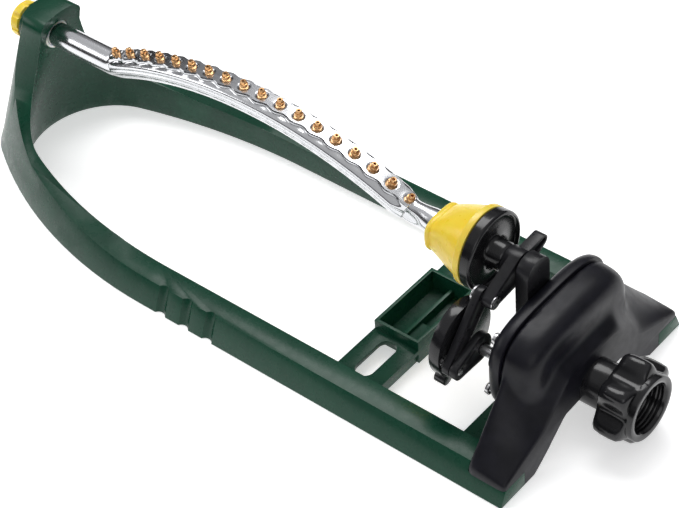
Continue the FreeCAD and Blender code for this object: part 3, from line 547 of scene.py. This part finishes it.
def build_dial():
    """Thick disc with a chamfered rim, a dished face and a rounded boss."""
    profile = [(131.95, 5.2), (131.95, 20.4), (132.2, 21.1), (132.7, 21.55), (133.0, 21.55),
               (136.6, 21.55), (136.9, 21.55), (137.5, 21.4), (138.2, 20.6), (138.35, 20.0),
               (138.1, 19.5), (136.6, 18.7), (136.3, 17.5), (136.5, 13.5), (136.9, 10.0), (137.7, 8.8),
               (139.0, 8.1), (144.4, 7.9), (145.8, 7.4), (146.7, 6.4), (146.7, 5.2)]
    rings = []
    for x, radius in profile:
        ring = []
        for i in range(DIAL_SEGMENTS):
            a = 2 * math.pi * i / DIAL_SEGMENTS
            ring.append(Vector((x, radius * math.cos(a), AXIS_Z + radius * math.sin(a))) * MM)
        rings.append(ring)
    rings.append(rings[0])
    piece("dial_disc", *skin(rings, caps=False), "rocker", "range_dial", "black_gloss", 40.0)


# ---------------------------------------------------------------- housing

CASE_HALF_Y, CASE_HALF_Z, CASE_Z, CASE_POWER, CASE_SEGMENTS = 44.0, 27.0, 43.0, 3.4, 120
SIDE_STEPS = 9
WING_STEPS = 12
SKIN_VOXEL, HOLLOW_VOXEL = 0.9, 1.2
SKIN_ROUNDS = 34
SHELL_WALL = 2.6
WIDE, DEEP, ARM_TOP, ARM_INNER_Y = 90, -12, 9.0, 57.3
BACK_X, SEAT_X1, UNDER_X1 = 150, 200, 194.2


def case_ring(x, inset):
    """Section of the rounded gear case, pulled in by inset mm."""
    return oval(x, CASE_HALF_Y - inset, CASE_HALF_Z - inset, CASE_Z, CASE_POWER, CASE_SEGMENTS)


def raw_object(name, vertices, faces):
    """A plain object with outward faces, to be shaped further."""
    mesh = bpy.data.meshes.new(name)
    mesh.from_pydata([(v[0] - MIDDLE_X, v[1], v[2]) for v in vertices], [], faces)
    build = bmesh.new()
    build.from_mesh(mesh)
    bmesh.ops.recalc_face_normals(build, faces=build.faces)
    build.to_mesh(mesh)
    build.free()
    thing = bpy.data.objects.new(name, mesh)
    bpy.context.scene.collection.objects.link(thing)
    return thing


def polygon_ring(half, x):
    """A closed outline in mm from its half, mirrored in y, with extra points along each side."""
    corners = list(half) + [(-y, z) for y, z in reversed(half)]
    ring = []
    for (y0, z0), (y1, z1) in zip(corners, corners[1:] + corners[:1]):
        ring += [Vector((x, y0 + (y1 - y0) * k / SIDE_STEPS, z0 + (z1 - z0) * k / SIDE_STEPS)) * MM
                 for k in range(SIDE_STEPS)]
    return ring


def ruled(first, last, count):
    """Rings between two outlines with equal numbers of points."""
    return [[a.lerp(b, k / count) for a, b in zip(first, last)] for k in range(count + 1)]


def housing_solid(inset):
    """The rounded body and the wings as two closed solids in one mesh."""
    i = inset
    rings = [case_ring(172.2 - 2 * i, 1.0 + i), case_ring(173.4, 0.5 + i), case_ring(174.6, 1.2 + i),
             case_ring(182.5 - i, 1.6 + i), case_ring(186.4 - i, 3.0 + i), case_ring(188.8 - i, 5.2 + i),
             case_ring(190.5 - i, 9.0 + i)]
    seam = [(74.0 - i, -6.0), (74.0 - i, 13.0 - 2 * i), (46.0 - i, 49.0 - i), (31.0 - i, 67.0 - 1.5 * i)]
    end = [(74.0 - i, -6.0), (74.0 - i, 12.5 - 2 * i), (41.0 - i, 23.0 - i), (20.0 - i, 43.0 - 1.5 * i)]
    wings = skin(ruled(polygon_ring(seam, 174.2 - 2 * i), polygon_ring(end, 197.6 - i), WING_STEPS))
    return joined([skin(rings), wings])


def cut_by(thing, cutter):
    tool = thing.modifiers.new("cut", "BOOLEAN")
    tool.operation = "DIFFERENCE"
    tool.solver = "EXACT"
    tool.object = cutter
    apply_all(thing)
    bpy.data.objects.remove(cutter)


def rectangle(y0, y1, z0, z1):
    return [(y0, z0), (y1, z0), (y1, z1), (y0, z1)]


def cut_block(thing, name, x0, x1, outline):
    """Cuts a closed prism along X, from an outline in mm, out of a piece."""
    rings = [[Vector((x, y, z)) * MM for y, z in outline] for x in (x0, x1)]
    cut_by(thing, raw_object(name, *skin(rings)))


def fused(thing, voxel):
    """One skin round everything, on a grid of voxel mm."""
    tool = thing.modifiers.new("fuse", "REMESH")
    tool.mode = "VOXEL"
    tool.voxel_size = voxel * MM
    apply_all(thing)


def soften(thing, rounds):
    """Evens out the skin, which rounds its edges and runs its parts together."""
    build = bmesh.new()
    build.from_mesh(thing.data)
    for _ in range(rounds):
        bmesh.ops.smooth_vert(build, verts=build.verts, factor=0.5, use_axis_x=True, use_axis_y=True,
                              use_axis_z=True)
    build.to_mesh(thing.data)
    build.free()


def build_housing():
    """Body and wings run together in one soft skin, hollowed, with the arch over the inlet side."""
    shell = raw_object("housing_shell", *housing_solid(0))
    fused(shell, SKIN_VOXEL)
    soften(shell, SKIN_ROUNDS)
    hollow = raw_object("housing_hollow", *housing_solid(SHELL_WALL))
    fused(hollow, HOLLOW_VOXEL)
    cut_by(shell, hollow)
    arch = [(51, -9), (49.5, 0), (45, 3.0), (37.6, 8.4), (36, 10), (25.6, 18.7), (23, 20), (9, 20.6)]
    cut_block(shell, "arch", 186, 200, arch + [(-y, z) for y, z in reversed(arch)])
    cut_block(shell, "under", BACK_X, UNDER_X1, rectangle(-WIDE, WIDE, DEEP, ARM_TOP))
    for side in (1, -1):
        cut_block(shell, "seat", BACK_X, SEAT_X1,
                  rectangle(ARM_INNER_Y * side, WIDE * side, DEEP, ARM_TOP))
    cut_block(shell, "ground", BACK_X, 202, rectangle(-WIDE, WIDE, DEEP, 0.0))
    cut_block(shell, "front", 197.15, 205, rectangle(-WIDE, WIDE, -14, 90))
    cut_block(shell, "rear", BACK_X, 172.3, rectangle(-WIDE, WIDE, -14, 90))
    settle(shell, 45.0)
    shell.data.materials.append(FINISH["black_textured"])
    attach(shell, "base")
    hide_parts("motor_housing")


# ---------------------------------------------------------------- all the pieces

build_nut()
build_dial()
build_housing()
build_tube()
build_nozzles()
build_cap()

# Edge widths in mm of the CAD nodes whose edges are rounded.
ROUNDED = {
    "base_frame": 1.0, "drive_lever": 0.5, "crank_dial": 0.4, "crank_arm": 0.4,
    "connecting_rod": 0.5, "outlet_elbow": 0.6, "gear_case_cover": 0.6,
    "inlet_spigot": 0.4, "flush_plug": 0.5, "post_bush": 0.3, "output_bush": 0.3,
    "case_screws": 0.2, "leg_screws": 0.2, "lever_pin": 0.3, "lever_clip": 0.15,
    "output_shaft": 0.2, "crank_pin": 0.2,
}
for name, width in ROUNDED.items():
    refined(name, width)

for name, thing in nodes.items():
    thing.data.materials.clear()
    thing.data.materials.append(FINISH[SLOT[name]])
    for polygon in thing.data.polygons:
        polygon.material_index = 0


# ---------------------------------------------------------------- floor, light and camera

FLOOR_HALF, FLOOR_Z, FLOOR_GLOW = 6.0, -0.0004, 0.52
SKY_STOPS = ((0.0, 0.02), (0.12, 0.03), (0.30, 0.10), (0.42, 0.60), (0.52, 0.30), (0.64, 0.95))
SKY_STRENGTH = 0.52
CAMERA_TURN = (43.374, 43.191, -5.313)    # azimuth, elevation and roll in degrees
CAMERA_PLACE = (604.5, -613.1, 810.9)
CAMERA_LENS = 116.4


def studio():
    """A pale floor, a soft sky and three lamps."""
    mesh = bpy.data.meshes.new("floor")
    half = FLOOR_HALF
    mesh.from_pydata([(-half, -half, FLOOR_Z), (half, -half, FLOOR_Z), (half, half, FLOOR_Z),
                      (-half, half, FLOOR_Z)], [], [(0, 1, 2, 3)])
    floor = bpy.data.objects.new("floor", mesh)
    bpy.context.scene.collection.objects.link(floor)
    paper = bpy.data.materials.new("paper")
    paper.use_nodes = True
    tree = paper.node_tree
    bsdf = tree.nodes["Principled BSDF"]
    colour = blend(tree, noise(tree, 3.0, 2.0), (0.94, 0.94, 0.94), (0.96, 0.96, 0.96))
    link(tree, colour, bsdf.inputs["Base Color"])
    bsdf.inputs["Roughness"].default_value = 0.9
    link(tree, colour, bsdf.inputs["Emission Color"])
    bsdf.inputs["Emission Strength"].default_value = FLOOR_GLOW
    mesh.materials.append(paper)

    world = bpy.data.worlds.new("studio")
    world.use_nodes = True
    tree = world.node_tree
    coord = tree.nodes.new("ShaderNodeTexCoord")
    split = tree.nodes.new("ShaderNodeSeparateXYZ")
    ramp = tree.nodes.new("ShaderNodeValToRGB")
    for place, level in SKY_STOPS:
        stop = ramp.color_ramp.elements.new(place)
        stop.color = (level, level, level * 1.03, 1)
    ramp.color_ramp.elements[len(ramp.color_ramp.elements) - 1].color = (1.0, 1.0, 1.0, 1)
    link(tree, coord.outputs["Generated"], split.inputs["Vector"])
    link(tree, split.outputs["Z"], ramp.inputs["Fac"])
    link(tree, ramp.outputs["Color"], tree.nodes["Background"].inputs["Color"])
    tree.nodes["Background"].inputs["Strength"].default_value = SKY_STRENGTH
    bpy.context.scene.world = world

    def lamp(name, place, target, size, power):
        data = bpy.data.lights.new(name, "AREA")
        data.shape = "RECTANGLE"
        data.size, data.size_y = size
        data.energy = power
        thing = bpy.data.objects.new(name, data)
        bpy.context.scene.collection.objects.link(thing)
        thing.location = place
        thing.rotation_euler = (Vector(target) - Vector(place)).to_track_quat("-Z", "Y").to_euler()

    lamp("key", (-0.35, 0.55, 1.5), (0, 0, 0.04), (1.1, 0.8), 15.0)
    lamp("fill", (1.3, -0.9, 0.9), (0.1, 0, 0.04), (0.9, 0.9), 3.0)
    lamp("rim", (-1.2, -0.6, 0.8), (-0.1, 0, 0.04), (0.8, 0.5), 3.5)


def camera():
    """The camera at the photograph's viewing angle."""
    azimuth, elevation, roll = (math.radians(v) for v in CAMERA_TURN)
    back = Vector((math.sin(azimuth) * math.cos(elevation), -math.cos(azimuth) * math.cos(elevation),
                   math.sin(elevation)))
    level = Vector((math.cos(azimuth), math.sin(azimuth), 0))
    up = back.cross(level)
    right = level * math.cos(roll) + up * math.sin(roll)
    up = up * math.cos(roll) - level * math.sin(roll)
    data = bpy.data.cameras.new("camera")
    data.lens = CAMERA_LENS
    data.sensor_width = 36.0
    data.clip_start = 0.05
    thing = bpy.data.objects.new("camera", data)
    bpy.context.scene.collection.objects.link(thing)
    place = Vector(CAMERA_PLACE) * MM
    turn = Matrix((right, up, back)).transposed().to_4x4()
    thing.matrix_world = Matrix.Translation(place) @ turn
    bpy.context.scene.camera = thing


studio()
camera()
bpy.context.scene.view_settings.view_transform = "Standard"
